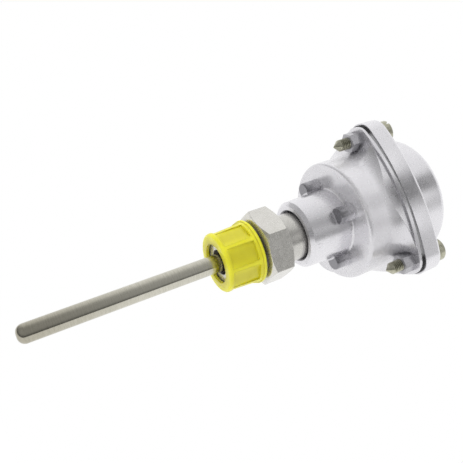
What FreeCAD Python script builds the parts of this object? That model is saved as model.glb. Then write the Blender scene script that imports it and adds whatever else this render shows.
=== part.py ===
import FreeCAD, Part
# Resistance thermometer probe with a small cast terminal head.
# Millimetres. The origin is on the probe axis at the sealing face of the hexagon,
# +Z runs up the axis to the head, and +X points to the middle of one flat side of the head flange.
import math
import os
import re

import Sketcher

Vector = FreeCAD.Vector
FULL_TURN = 360
HEX_SIDES = 6
NEAR = 0.01
Z_AXIS = Vector(0, 0, 1)

doc = FreeCAD.newDocument("rtd_probe")
sizes = doc.addObject("Spreadsheet::Sheet", "Sizes")

# Driving dimensions, in millimetres, degrees and counts
SIZES = {
    # protection tube with its measuring tip
    "stem_diameter": 6.0,
    "stem_wall": 0.5,
    "insertion_length": 78.0,
    "tip_round": 2.4,
    "stem_in_cup": 1.2,
    "element_diameter": 2.8,
    "element_length": 15.0,
    "element_set_back": 2.0,
    "element_chamfer": 0.2,
    "fill_above_element": 6.0,
    "embed_gap": 0.02,
    "lead_diameter": 0.9,
    "lead_circle_radius": 1.1,
    "lead_bend_radius": 1.8,
    "lead_turn": 45.0,
    # fitting turned from hexagon bar
    "thread_diameter": 16.6,
    "thread_length": 13.0,
    "thread_chamfer": 0.8,
    "relief_width": 1.8,
    "relief_depth": 1.1,
    "socket_diameter": 8.6,
    "socket_depth": 3.0,
    "braze_leg": 0.9,
    "hex_across_flats": 22.6,
    "hex_height": 8.8,
    "hex_face_diameter": 21.9,
    "hex_bevel_angle": 30.0,
    "hex_turn": -8.6,
    "nipple_diameter": 16.6,
    "nipple_run": 6.9,
    "nipple_engagement": 9.6,
    "cup_diameter": 11.0,
    "cup_depth": 5.0,
    "seal_set_back": 0.4,
    # push-on cap over the process thread
    "cap_clearance": 0.08,
    "cap_end_gap": 0.3,
    "cap_front_wall": 1.1,
    "cap_hole_diameter": 13.3,
    "cap_body_diameter": 20.0,
    "cap_draft": 0.5,
    "cap_front_round": 1.0,
    "cap_flange_diameter": 21.8,
    "cap_flange_thickness": 1.1,
    "cap_flange_round": 0.3,
    "cap_rear_gap": 1.4,
    "cap_panel_count": 8,
    "cap_panel_wall": 1.0,
    "cap_panel_width": 6.4,
    "cap_panel_margin": 1.0,
    "cap_panel_front_margin": 0.5,
    "cap_turn": 6.4,
    # cast head
    "neck_clearance": 0.05,
    "neck_mouth_diameter": 23.5,
    "neck_root_diameter": 24.4,
    "neck_root_round": 0.8,
    "neck_length": 16.5,
    "mouth_bevel": 1.2,
    "mouth_chamfer": 0.85,
    "wire_way_diameter": 10.0,
    "drum_diameter": 42.5,
    "drum_edge_round": 1.0,
    "head_depth": 15.8,
    "head_wall": 3.0,
    "cavity_round": 1.2,
    "floor_thickness": 3.6,
    "flange_thickness": 1.3,
    "flange_half_width": 22.3,
    "flare_radius": 6.5,
    "flare_set_in": 0.7,
    "bolt_count": 3,
    "lobe_set_in": 1.2,
    "lobe_radius": 5.8,
    "nut_boss_across_flats": 6.0,
    "nut_boss_height": 4.55,
    "post_circle_radius": 13.5,
    "post_count": 4,
    "post_diameter": 5.7,
    "post_length": 5.9,
    "post_round": 0.5,
    "standoff_diameter": 6.0,
    "standoff_height": 2.5,
    "post_hole_depth": 8.2,
    "entry_angle": 150.0,
    "entry_diameter": 10.0,
    "entry_height": 8.75,
    "entry_boss_diameter": 14.0,
    "entry_face_radius": 25.0,
    # gasket and cover
    "gasket_thickness": 0.8,
    "gasket_proud": 0.25,
    "gasket_side_set_in": 0.35,
    "gasket_lap": 0.2,
    "cover_half_width": 22.3,
    "cover_lobe_radius": 6.6,
    "rim_height": 7.3,
    "rim_draft": 1.0,
    "rim_round": 1.4,
    "dome_diameter": 43.6,
    "dome_height": 10.5,
    "dome_round": 2.2,
    "dome_crown_radius": 140.0,
    "dome_foot_depth": 3.5,
    "cover_wall": 2.4,
    "cover_cavity_diameter": 38.0,
    "cover_cavity_round": 4.0,
    # cover screws
    "screw_diameter": 4.0,
    "screw_clearance": 0.05,
    "screw_hole_clearance": 0.3,
    "screw_beyond_boss": 6.1,
    "screw_cone": 2.4,
    "screw_head_diameter": 8.0,
    "screw_head_height": 2.4,
    "screw_head_gap": 0.3,
    "slot_width": 1.0,
    "slot_depth": 1.1,
    "screw_slot_turn": 25.0,
    "washer_thickness": 0.8,
    "washer_diameter": 8.0,
    # terminal block and its hardware
    "block_turn": 90.0,
    "block_end_gap": 1.6,
    "block_half_width": 8.6,
    "block_thickness": 7.0,
    "block_centre_hole": 4.6,
    "block_fixing_count": 2,
    "small_screw_diameter": 3.0,
    "small_head_diameter": 5.2,
    "small_head_height": 1.8,
    "small_slot_width": 0.8,
    "small_slot_depth": 0.8,
    "small_screw_end_gap": 1.0,
    "block_slot_turn": 40.0,
    "earth_slot_turn": 70.0,
    "terminal_count": 4,
    "terminal_radius": 7.2,
    "terminal_length": 4.8,
    "terminal_width": 4.4,
    "terminal_height": 6.0,
    "terminal_recess": 2.0,
    "terminal_screw_diameter": 2.5,
    "terminal_head_diameter": 3.8,
    "terminal_head_height": 1.5,
    "terminal_slot_turn": 15.0,
    "wire_hole_diameter": 1.6,
    "wire_hole_drop": 3.0,
    "wire_in_terminal": 0.9,
    "earth_washer_thickness": 0.6,
    "earth_washer_diameter": 5.6,
    "seat_gap": 0.05,
    "cut_margin": 1.0,
}

for row, (alias, size) in enumerate(SIZES.items(), start=1):
    sizes.set(f"A{row}", alias)
    sizes.set(f"B{row}", str(size))
    sizes.setAlias(f"B{row}", alias)
doc.recompute()


def bind(text):
    """Turn a formula in plain size names into one that reads the sheet."""
    return re.sub(r"[a-z_]+", lambda word: f"Sizes.{word[0]}" if word[0] in SIZES else word[0], str(text))


def number(text):
    """Work a formula out now, for starting geometry and for counts."""
    result = sizes.evalExpression(bind(text))
    return float(getattr(result, "Value", result))


# Stations along the axis, from the tip up
tip_z = "(0 - insertion_length)"
thread_end_z = "(0 - thread_length)"
socket_floor_z = f"({thread_end_z} + socket_depth)"
mouth_z = "(hex_height + nipple_run)"
nipple_end_z = f"({mouth_z} + nipple_engagement)"
cup_floor_z = f"({nipple_end_z} - cup_depth)"
stem_end_z = f"({cup_floor_z} + stem_in_cup)"
disc_z = f"({mouth_z} + neck_length)"
post_end_z = f"({disc_z} - post_length)"
floor_z = f"({disc_z} + floor_thickness)"
standoff_z = f"({floor_z} + standoff_height)"
entry_z = f"({disc_z} + entry_height)"
post_hole_z = f"({standoff_z} - post_hole_depth)"
small_screw_end_z = f"({post_hole_z} + small_screw_end_gap)"
joint_z = f"({disc_z} + head_depth)"
flange_z = f"({joint_z} - flange_thickness)"
boss_end_z = f"({flange_z} - nut_boss_height)"
cover_z = f"({joint_z} + gasket_thickness)"
rim_z = f"({cover_z} + rim_height)"
dome_z = f"({rim_z} + dome_height)"
block_top_z = f"({standoff_z} + block_thickness)"
terminal_z = f"({block_top_z} - terminal_recess)"
terminal_top_z = f"({terminal_z} + terminal_height)"
wire_hole_z = f"({terminal_top_z} - wire_hole_drop)"

# Radii that several pieces share
stem_r = "(stem_diameter / 2)"
stem_bore_r = f"({stem_r} - stem_wall)"
element_r = "(element_diameter / 2)"
lead_r = "(lead_diameter / 2)"
thread_r = "(thread_diameter / 2)"
nipple_r = "(nipple_diameter / 2)"
cup_r = "(cup_diameter / 2)"
drum_r = "(drum_diameter / 2)"
cavity_r = f"({drum_r} - head_wall)"
screw_r = "(screw_diameter / 2)"
dome_r = "(dome_diameter / 2)"
bolt_circle_r = f"({dome_r} + washer_diameter / 2 + screw_head_gap)"
small_screw_r = "(small_screw_diameter / 2)"


# Document helpers


def new_body(label):
    body = doc.addObject("PartDesign::Body", label)
    body.Label = label
    body.AllowCompound = True
    return body


def turn_body(body, angle):
    """Turn a finished piece about the probe axis."""
    body.Placement = FreeCAD.Placement(Vector(), FreeCAD.Rotation(Z_AXIS, number(angle)))
    body.setExpression("Placement.Rotation.Angle", bind(angle))


def datum(body, role):
    return next(item for item in body.Origin.OriginFeatures if item.Role == role)


def sketch_on(body, name, role, offset="0"):
    sketch = body.newObject("Sketcher::SketchObject", f"{body.Name}_{name}")
    sketch.AttachmentSupport = [(datum(body, role), "")]
    sketch.MapMode = "FlatFace"
    sketch.setExpression("AttachmentOffset.Base.z", bind(offset))
    return sketch


def sketch_facing(body, name, angle):
    """Sketch on the plane through the probe axis that looks out along an angle about it."""
    sketch = sketch_on(body, name, "YZ_Plane")
    turn = FreeCAD.Rotation(Vector(0, 1, 0), number(angle))
    sketch.AttachmentOffset = FreeCAD.Placement(Vector(), turn)
    sketch.setExpression("AttachmentOffset.Rotation.Angle", bind(angle))
    return sketch


def pin_point(sketch, geometry, end, x, y):
    """Hold one point of a sketch at two formulas."""
    for kind, formula in (("DistanceX", x), ("DistanceY", y)):
        index = sketch.addConstraint(Sketcher.Constraint(kind, geometry, end, number(formula)))
        sketch.setExpression(f"Constraints[{index}]", bind(formula))


def arc_between(start, end, radius, sense):
    """Minor arc from start to end; sense 1 runs anticlockwise and -1 clockwise."""
    chord = end - start
    half = chord.Length / 2
    rise = math.sqrt(max(radius * radius - half * half, 0.0))
    side = Vector(-chord.y, chord.x, 0).normalize()
    centre = start + chord / 2 + side * rise * sense
    first, last = (start, end) if sense > 0 else (end, start)
    first_angle = math.atan2(first.y - centre.y, first.x - centre.x)
    last_angle = math.atan2(last.y - centre.y, last.x - centre.x)
    if last_angle < first_angle:
        last_angle += 2 * math.pi
    circle = Part.Circle(centre, Z_AXIS, radius)
    return Part.ArcOfCircle(circle, first_angle, last_angle)


def outline(sketch, corners):
    """Closed outline. A corner is (x, y), or (x, y, radius, sense) when an arc arrives at it."""
    first = sketch.GeometryCount
    places = [Vector(number(corner[0]), number(corner[1]), 0) for corner in corners]
    count = len(corners)
    starts = {}
    ends = {}
    for index in range(count):
        target = (index + 1) % count
        corner = corners[target]
        geometry = first + index
        if len(corner) == 2:
            sketch.addGeometry(Part.LineSegment(places[index], places[target]), False)
            starts[index], ends[target] = (geometry, 1), (geometry, 2)
            continue
        radius, sense = corner[2:]
        sketch.addGeometry(arc_between(places[index], places[target], number(radius), sense), False)
        near, far = (1, 2) if sense > 0 else (2, 1)
        starts[index], ends[target] = (geometry, near), (geometry, far)
        bound = sketch.addConstraint(Sketcher.Constraint("Radius", geometry, number(radius)))
        sketch.setExpression(f"Constraints[{bound}]", bind(radius))
    for index, corner in enumerate(corners):
        sketch.addConstraint(Sketcher.Constraint("Coincident", *ends[index], *starts[index]))
        pin_point(sketch, *starts[index], corner[0], corner[1])


def circle(sketch, x, y, radius):
    shape = Part.Circle(Vector(number(x), number(y), 0), Z_AXIS, number(radius))
    geometry = sketch.addGeometry(shape, False)
    pin_point(sketch, geometry, 3, x, y)
    bound = sketch.addConstraint(Sketcher.Constraint("Radius", geometry, number(radius)))
    sketch.setExpression(f"Constraints[{bound}]", bind(radius))


def polygon(sketch, x, y, across_flats, sides, turn="0"):
    reach = f"({across_flats} / 2 / cos(180 / {sides}))"
    corners = []
    for side in range(sides):
        angle = f"({turn} + {side * FULL_TURN / sides})"
        corners.append((f"{x} + {reach} * cos({angle})", f"{y} + {reach} * sin({angle})"))
    outline(sketch, corners)


def rectangle(sketch, x, y, length, width, turn="0"):
    corners = []
    for along, across in ((-1, -1), (1, -1), (1, 1), (-1, 1)):
        far = f"({along} * ({length}) / 2)"
        wide = f"({across} * ({width}) / 2)"
        corners.append((
            f"{x} + {far} * cos({turn}) - {wide} * sin({turn})",
            f"{y} + {far} * sin({turn}) + {wide} * cos({turn})",
        ))
    outline(sketch, corners)


def lobed_outline(sketch, half_width, lobe_r, inset="0"):
    """Outline with nearly flat sides joined by a lobe at each bolt."""
    half_side = f"({FULL_TURN} / 2 / bolt_count)"
    lobe_centre = f"({bolt_circle_r} - lobe_set_in)"
    along = f"({lobe_centre} * cos({half_side}))"
    span = f"({half_width} - {lobe_r})"
    side_centre = f"(({span} * {span} - {lobe_centre} * {lobe_centre}) / (2 * {along} - 2 * {span}))"
    side_radius = f"({side_centre} + {half_width} - ({inset}))"
    lobe_round = f"({lobe_r} - ({inset}))"
    lean = f"atan({lobe_centre} * sin({half_side}) / ({along} + {side_centre}))"
    count = int(number("bolt_count"))
    corners = []
    for side in range(count):
        middle = (side - (count - 1) / 2) * FULL_TURN / count
        for sense, radius in ((-1, lobe_round), (1, side_radius)):
            angle = f"({middle} deg + {sense} * {lean})"
            x = f"0 - {side_centre} * cos({middle}) + {side_radius} * cos({angle})"
            y = f"0 - {side_centre} * sin({middle}) + {side_radius} * sin({angle})"
            corners.append((x, y, radius, 1))
    outline(sketch, corners)


def volume(body):
    doc.recompute()
    return body.Shape.Volume if not body.Shape.isNull() else 0.0


def grow(body, feature, before):
    if volume(body) <= before:
        raise RuntimeError(f"{feature.Name} added nothing")
    return feature


def shrink(body, feature, before):
    if volume(body) >= before:
        raise RuntimeError(f"{feature.Name} cut nothing")
    return feature


def profile(body, name, corners, axis_x=None):
    """Sketch of a turned profile in the XZ plane, about the probe axis or a line beside it."""
    sketch = sketch_on(body, name, "XZ_Plane")
    if axis_x is None:
        outline(sketch, corners)
        return sketch, (sketch, ["V_Axis"])
    outline(sketch, [(f"{axis_x} + ({corner[0]})", *corner[1:]) for corner in corners])
    foot = Vector(number(axis_x), number(corners[0][1]), 0)
    line = sketch.addGeometry(Part.LineSegment(foot, foot + Vector(0, 1, 0)), True)
    sketch.addConstraint(Sketcher.Constraint("Vertical", line))
    pin_point(sketch, line, 1, axis_x, corners[0][1])
    sketch.addConstraint(Sketcher.Constraint("Distance", line, 1))
    return sketch, (sketch, ["Axis0"])


def turn_solid(body, name, corners, axis_x=None):
    before = volume(body)
    sketch, axis = profile(body, name, corners, axis_x)
    feature = body.newObject("PartDesign::Revolution", f"{sketch.Name}_turned")
    feature.Profile = sketch
    feature.ReferenceAxis = axis
    feature.Angle = FULL_TURN
    return grow(body, feature, before)


def turn_cut(body, name, corners, axis_x=None):
    before = volume(body)
    sketch, axis = profile(body, name, corners, axis_x)
    feature = body.newObject("PartDesign::Groove", f"{sketch.Name}_cut")
    feature.Profile = sketch
    feature.ReferenceAxis = axis
    feature.Angle = FULL_TURN
    return shrink(body, feature, before)


def pad(body, sketch, length):
    before = volume(body)
    feature = body.newObject("PartDesign::Pad", f"{sketch.Name}_pad")
    feature.Profile = sketch
    feature.setExpression("Length", bind(length))
    return grow(body, feature, before)


def pocket(body, sketch, length, outward=False):
    """Cut against the sketch normal, or along it when outward."""
    before = volume(body)
    feature = body.newObject("PartDesign::Pocket", f"{sketch.Name}_pocket")
    feature.Profile = sketch
    feature.Reversed = outward
    feature.setExpression("Length", bind(length))
    return shrink(body, feature, before)


def around(body, features, count):
    """Repeat features about the probe axis."""
    pattern = body.newObject("PartDesign::PolarPattern", f"{features[0].Name}_ring")
    pattern.Originals = features
    pattern.Axis = (datum(body, "Z_Axis"), [""])
    pattern.Angle = FULL_TURN
    pattern.setExpression("Occurrences", bind(count))
    body.Tip = pattern
    doc.recompute()
    return pattern


def round_edges(body, radius, wanted):
    """Fillet the edges of the body so far that pass a test."""
    base = body.Tip
    names = [f"Edge{i}" for i, edge in enumerate(base.Shape.Edges, start=1) if wanted(edge)]
    feature = body.newObject("PartDesign::Fillet", f"{base.Name}_round")
    feature.Base = (base, names)
    feature.setExpression("Radius", bind(radius))
    doc.recompute()
    return feature


# Protection tube: drawn stainless tube, closed at the tip with a rounded end
sheath_tube = new_body("sheath_tube")
turn_solid(sheath_tube, "wall", [
    ("0", tip_z),
    (f"{stem_r} - tip_round", tip_z),
    (stem_r, f"{tip_z} + tip_round", "tip_round", 1),
    (stem_r, stem_end_z),
    (stem_bore_r, stem_end_z),
    (stem_bore_r, f"{tip_z} + tip_round"),
    (f"{stem_r} - tip_round", f"{tip_z} + stem_wall", "tip_round - stem_wall", -1),
    ("0", f"{tip_z} + stem_wall"),
])

# Measuring element: platinum winding in a small ceramic rod near the tip
element_z = f"({tip_z} + stem_wall + element_set_back)"
element_top_z = f"({element_z} + element_length)"
rtd_element = new_body("rtd_element")
turn_solid(rtd_element, "rod", [
    ("0", element_z),
    (f"{element_r} - element_chamfer", element_z),
    (element_r, f"{element_z} + element_chamfer"),
    (element_r, f"{element_top_z} - element_chamfer"),
    (f"{element_r} - element_chamfer", element_top_z),
    ("0", element_top_z),
])

# Packed oxide powder that holds the element in the tip
fill_r = f"({stem_bore_r} - embed_gap)"
fill_z = f"({tip_z} + stem_wall + embed_gap)"
fill_top_z = f"({element_top_z} + fill_above_element)"
fill_round = "(tip_round - stem_wall - embed_gap)"
mineral_fill = new_body("mineral_fill")
turn_solid(mineral_fill, "plug", [
    ("0", fill_z),
    (f"{fill_r} - {fill_round}", fill_z),
    (fill_r, f"{fill_z} + {fill_round}", fill_round, 1),
    (fill_r, fill_top_z),
    ("0", fill_top_z),
])
turn_cut(mineral_fill, "element_seat", [
    ("0", f"{element_z} - embed_gap"),
    (f"{element_r} + embed_gap", f"{element_z} - embed_gap"),
    (f"{element_r} + embed_gap", f"{element_top_z} + embed_gap"),
    ("0", f"{element_top_z} + embed_gap"),
])
fill_leads = sketch_on(mineral_fill, "lead_way", "XY_Plane", fill_top_z)
lead_way_x = "(lead_circle_radius * cos(lead_turn))"
lead_way_y = "(lead_circle_radius * sin(lead_turn))"
circle(fill_leads, lead_way_x, lead_way_y, f"{lead_r} + embed_gap")
fill_lead_way = pocket(mineral_fill, fill_leads, "fill_above_element")
around(mineral_fill, [fill_lead_way], "terminal_count")

# Fitting: process thread below, hexagon, and the nipple that screws into the head
process_fitting = new_body("process_fitting")
hexagon = sketch_on(process_fitting, "hexagon", "XY_Plane")
polygon(hexagon, "0", "0", "hex_across_flats", HEX_SIDES)
pad(process_fitting, hexagon, "hex_height")
hex_face_r = "(hex_face_diameter / 2)"
hex_clear_r = f"(hex_across_flats / 2 / cos(180 / {HEX_SIDES}) + cut_margin)"
hex_bevel = f"(({hex_clear_r} - {hex_face_r}) * tan(hex_bevel_angle))"
turn_cut(process_fitting, "lower_bevel", [
    (hex_face_r, "0"),
    (hex_clear_r, "0"),
    (hex_clear_r, hex_bevel),
])
turn_cut(process_fitting, "upper_bevel", [
    (hex_face_r, "hex_height"),
    (hex_clear_r, f"hex_height - {hex_bevel}"),
    (hex_clear_r, "hex_height"),
])
relief_r = f"({thread_r} - relief_depth)"
turn_solid(process_fitting, "thread_blank", [
    ("0", thread_end_z),
    (f"{thread_r} - thread_chamfer", thread_end_z),
    (thread_r, f"{thread_end_z} + thread_chamfer"),
    (thread_r, "0 - relief_width"),
    (relief_r, "0 - relief_width + relief_depth"),
    (relief_r, "0"),
    ("0", "0"),
])
turn_solid(process_fitting, "nipple", [
    ("0", "hex_height"),
    (nipple_r, "hex_height"),
    (nipple_r, f"{nipple_end_z} - thread_chamfer"),
    (f"{nipple_r} - thread_chamfer", nipple_end_z),
    ("0", nipple_end_z),
])
turn_cut(process_fitting, "through_bore", [
    ("0", thread_end_z),
    ("socket_diameter / 2", thread_end_z),
    ("socket_diameter / 2", socket_floor_z),
    (f"{stem_r} + embed_gap", socket_floor_z),
    (f"{stem_r} + embed_gap", cup_floor_z),
    (cup_r, cup_floor_z),
    (cup_r, nipple_end_z),
    ("0", nipple_end_z),
])
turn_body(process_fitting, "hex_turn")

# Braze fillet that joins the tube to the fitting
braze_fillet = new_body("braze_fillet")
turn_solid(braze_fillet, "ring", [
    (f"{stem_r} + embed_gap", f"{socket_floor_z} - embed_gap - braze_leg"),
    (f"{stem_r} + embed_gap + braze_leg", f"{socket_floor_z} - embed_gap", "braze_leg", -1),
    (f"{stem_r} + embed_gap", f"{socket_floor_z} - embed_gap"),
])

# Resin that closes the fitting around the tube end and the leads
potting_seal = new_body("potting_seal")
seal_top_z = f"({nipple_end_z} - seal_set_back)"
turn_solid(potting_seal, "resin", [
    ("0", f"{stem_end_z} + embed_gap"),
    (f"{stem_r} + embed_gap", f"{stem_end_z} + embed_gap"),
    (f"{stem_r} + embed_gap", f"{cup_floor_z} + embed_gap"),
    (f"{cup_r} - embed_gap", f"{cup_floor_z} + embed_gap"),
    (f"{cup_r} - embed_gap", seal_top_z),
    ("0", seal_top_z),
])
seal_leads = sketch_on(potting_seal, "lead_way", "XY_Plane", seal_top_z)
circle(seal_leads, lead_way_x, lead_way_y, f"{lead_r} + embed_gap")
seal_lead_way = pocket(potting_seal, seal_leads, f"{seal_top_z} - {stem_end_z}")
around(potting_seal, [seal_lead_way], "terminal_count")

# Four insulated leads: up the tube, then outward into the terminals
lead_foot_z = f"({element_top_z} + 2 * embed_gap)"
lead_reach = "(terminal_radius - terminal_length / 2 + wire_in_terminal)"
for place, lead_name in enumerate(("lead_red_1", "lead_red_2", "lead_white_1", "lead_white_2")):
    lead = new_body(lead_name)
    route = sketch_on(lead, "route", "XZ_Plane")
    bend_start = Vector(number("lead_circle_radius"), number(f"{wire_hole_z} - lead_bend_radius"), 0)
    bend_end = Vector(number("lead_circle_radius + lead_bend_radius"), number(wire_hole_z), 0)
    foot = Vector(bend_start.x, number(lead_foot_z), 0)
    end = Vector(number(lead_reach), bend_end.y, 0)
    route.addGeometry(Part.LineSegment(foot, bend_start), False)
    route.addGeometry(arc_between(bend_start, bend_end, number("lead_bend_radius"), -1), False)
    route.addGeometry(Part.LineSegment(bend_end, end), False)
    route.addConstraint(Sketcher.Constraint("Coincident", 0, 2, 1, 2))
    route.addConstraint(Sketcher.Constraint("Coincident", 1, 1, 2, 1))
    pin_point(route, 0, 1, "lead_circle_radius", lead_foot_z)
    pin_point(route, 0, 2, "lead_circle_radius", f"{wire_hole_z} - lead_bend_radius")
    pin_point(route, 2, 1, "lead_circle_radius + lead_bend_radius", wire_hole_z)
    pin_point(route, 2, 2, lead_reach, wire_hole_z)
    bend = route.addConstraint(Sketcher.Constraint("Radius", 1, number("lead_bend_radius")))
    route.setExpression(f"Constraints[{bend}]", bind("lead_bend_radius"))
    section = sketch_on(lead, "section", "XY_Plane", lead_foot_z)
    circle(section, "lead_circle_radius", "0", lead_r)
    doc.recompute()
    sweep = lead.newObject("PartDesign::AdditivePipe", f"{lead_name}_sweep")
    sweep.Profile = section
    sweep.Spine = (route, ["Edge1", "Edge2", "Edge3"])
    turn_body(lead, f"lead_turn + {place} * {FULL_TURN} / terminal_count")

# Thread cap: soft moulded cap with eight recessed panels, pushed over the process thread
thread_cap = new_body("thread_cap")
cap_bore_r = f"({thread_r} + cap_clearance)"
cap_inner_z = f"({thread_end_z} - cap_end_gap)"
cap_front_z = f"({cap_inner_z} - cap_front_wall)"
cap_rear_z = "(0 - cap_rear_gap)"
cap_flange_z = f"({cap_rear_z} - cap_flange_thickness)"
cap_body_r = "(cap_body_diameter / 2)"
cap_flange_r = "(cap_flange_diameter / 2)"
turn_solid(thread_cap, "shell", [
    ("cap_hole_diameter / 2", cap_front_z),
    (f"{cap_body_r} - cap_front_round", cap_front_z),
    (cap_body_r, f"{cap_front_z} + cap_front_round", "cap_front_round", 1),
    (f"{cap_body_r} + cap_draft", cap_flange_z),
    (f"{cap_flange_r} - cap_flange_round", cap_flange_z),
    (cap_flange_r, f"{cap_flange_z} + cap_flange_round", "cap_flange_round", 1),
    (cap_flange_r, f"{cap_rear_z} - cap_flange_round"),
    (f"{cap_flange_r} - cap_flange_round", cap_rear_z, "cap_flange_round", 1),
    (cap_bore_r, cap_rear_z),
    (cap_bore_r, cap_inner_z),
    ("cap_hole_diameter / 2", cap_inner_z),
])
panel_floor_r = f"({cap_bore_r} + cap_panel_wall)"
panel_from_z = f"({cap_front_z} + cap_front_round + cap_panel_front_margin)"
panel_to_z = f"({cap_flange_z} - cap_panel_margin)"
panel = sketch_on(thread_cap, "panel", "YZ_Plane", panel_floor_r)
panel_middle_z = f"(({panel_from_z} + {panel_to_z}) / 2)"
rectangle(panel, "0", panel_middle_z, "cap_panel_width", f"{panel_to_z} - {panel_from_z}")
panel_recess = pocket(thread_cap, panel, f"{cap_flange_r} - {panel_floor_r} + cap_draft", outward=True)
around(thread_cap, [panel_recess], "cap_panel_count")
turn_body(thread_cap, "cap_turn")

# Head: one aluminium casting with neck, drum, flared three-lobed flange and its bosses
head_casting = new_body("head_casting")
neck_mouth_r = "(neck_mouth_diameter / 2)"
flare_start_z = f"({flange_z} - flare_radius)"
blank_r = f"({bolt_circle_r} + lobe_radius)"
turn_solid(head_casting, "neck_and_drum", [
    ("0", mouth_z),
    (f"{neck_mouth_r} - mouth_bevel", mouth_z),
    (neck_mouth_r, f"{mouth_z} + mouth_bevel"),
    ("neck_root_diameter / 2", f"{disc_z} - neck_root_round"),
    ("neck_root_diameter / 2 + neck_root_round", disc_z, "neck_root_round", -1),
    (f"{drum_r} - drum_edge_round", disc_z),
    (drum_r, f"{disc_z} + drum_edge_round", "drum_edge_round", 1),
    (drum_r, flare_start_z),
    (f"{drum_r} + flare_radius", flange_z, "flare_radius", -1),
    (blank_r, flange_z),
    (blank_r, joint_z),
    ("0", joint_z),
])
flange = sketch_on(head_casting, "flange", "XY_Plane", joint_z)
lobed_outline(flange, "flange_half_width", "lobe_radius")
circle(flange, "0", "0", f"{blank_r} + cut_margin")
pocket(head_casting, flange, "flange_thickness")
flare = sketch_on(head_casting, "flare", "XY_Plane", flange_z)
lobed_outline(flare, "flange_half_width", "lobe_radius", "flare_set_in")
circle(flare, "0", "0", f"{blank_r} + cut_margin")
pocket(head_casting, flare, "flare_radius")
bolt_x = f"(0 - {bolt_circle_r})"
nut_boss = sketch_on(head_casting, "nut_boss", "XY_Plane", boss_end_z)
polygon(nut_boss, bolt_x, "0", "nut_boss_across_flats", HEX_SIDES, f"{FULL_TURN / HEX_SIDES} / 2")
nut_boss_pad = pad(head_casting, nut_boss, "nut_boss_height + flange_thickness / 2")
around(head_casting, [nut_boss_pad], "bolt_count")
entry_boss = sketch_facing(head_casting, "entry_boss", "entry_angle")
circle(entry_boss, "0", entry_z, "entry_boss_diameter / 2")
pad(head_casting, entry_boss, "entry_face_radius")
post_r = "(post_diameter / 2)"
post_overlap = "(floor_thickness / 2)"
post_solid = turn_solid(head_casting, "post", [
    ("0", post_end_z),
    (f"{post_r} - post_round", post_end_z),
    (post_r, f"{post_end_z} + post_round", "post_round", 1),
    (post_r, f"{disc_z} + {post_overlap}"),
    ("0", f"{disc_z} + {post_overlap}"),
], "post_circle_radius")
around(head_casting, [post_solid], "post_count")
turn_cut(head_casting, "cavity", [
    ("0", floor_z),
    (f"{cavity_r} - cavity_round", floor_z),
    (cavity_r, f"{floor_z} + cavity_round", "cavity_round", 1),
    (cavity_r, joint_z),
    ("0", joint_z),
])
neck_bore_r = f"({nipple_r} + neck_clearance)"
turn_cut(head_casting, "neck_bore", [
    ("0", mouth_z),
    (f"{neck_bore_r} + mouth_chamfer", mouth_z),
    (neck_bore_r, f"{mouth_z} + mouth_chamfer"),
    (neck_bore_r, f"{nipple_end_z} + thread_chamfer"),
    ("wire_way_diameter / 2", f"{nipple_end_z} + thread_chamfer"),
    ("wire_way_diameter / 2", floor_z),
    ("0", floor_z),
])
entry_hole = sketch_facing(head_casting, "entry_hole", "entry_angle")
circle(entry_hole, "0", entry_z, "entry_diameter / 2")
pocket(head_casting, entry_hole, "entry_face_radius", outward=True)
standoff = sketch_on(head_casting, "standoff", "XY_Plane", floor_z)
fixing_x = "(post_circle_radius * cos(block_turn))"
fixing_y = "(post_circle_radius * sin(block_turn))"
circle(standoff, fixing_x, fixing_y, "standoff_diameter / 2")
standoff_pad = pad(head_casting, standoff, "standoff_height")
around(head_casting, [standoff_pad], "block_fixing_count")
fixing_hole = sketch_on(head_casting, "fixing_hole", "XY_Plane", standoff_z)
circle(fixing_hole, fixing_x, fixing_y, f"{small_screw_r} + screw_clearance")
fixing_pocket = pocket(head_casting, fixing_hole, "post_hole_depth")
around(head_casting, [fixing_pocket], "block_fixing_count")
earth_hole = sketch_on(head_casting, "earth_hole", "XY_Plane", floor_z)
circle(earth_hole, "post_circle_radius", "0", f"{small_screw_r} + screw_clearance")
pocket(head_casting, earth_hole, f"{floor_z} - {post_hole_z}")
bolt_hole = sketch_on(head_casting, "bolt_hole", "XY_Plane", joint_z)
circle(bolt_hole, bolt_x, "0", f"{screw_r} + screw_clearance")
bolt_pocket = pocket(head_casting, bolt_hole, f"{joint_z} - {boss_end_z}")
around(head_casting, [bolt_pocket], "bolt_count")

# Flat rubber gasket: it stands proud at the three lobes and just inside the flange between them
head_gasket = new_body("head_gasket")
cover_cavity_r = "(cover_cavity_diameter / 2)"
bolt_way_r = f"({screw_r} + screw_hole_clearance)"
gasket = sketch_on(head_gasket, "sheet", "XY_Plane", joint_z)
lobed_outline(gasket, "(flange_half_width - gasket_side_set_in)", "(lobe_radius + gasket_proud)")
circle(gasket, "0", "0", f"{cover_cavity_r} + gasket_lap")
pad(head_gasket, gasket, "gasket_thickness")
gasket_hole = sketch_on(head_gasket, "bolt_hole", "XY_Plane", cover_z)
circle(gasket_hole, bolt_x, "0", bolt_way_r)
gasket_pocket = pocket(head_gasket, gasket_hole, "gasket_thickness")
around(head_gasket, [gasket_pocket], "bolt_count")

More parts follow.
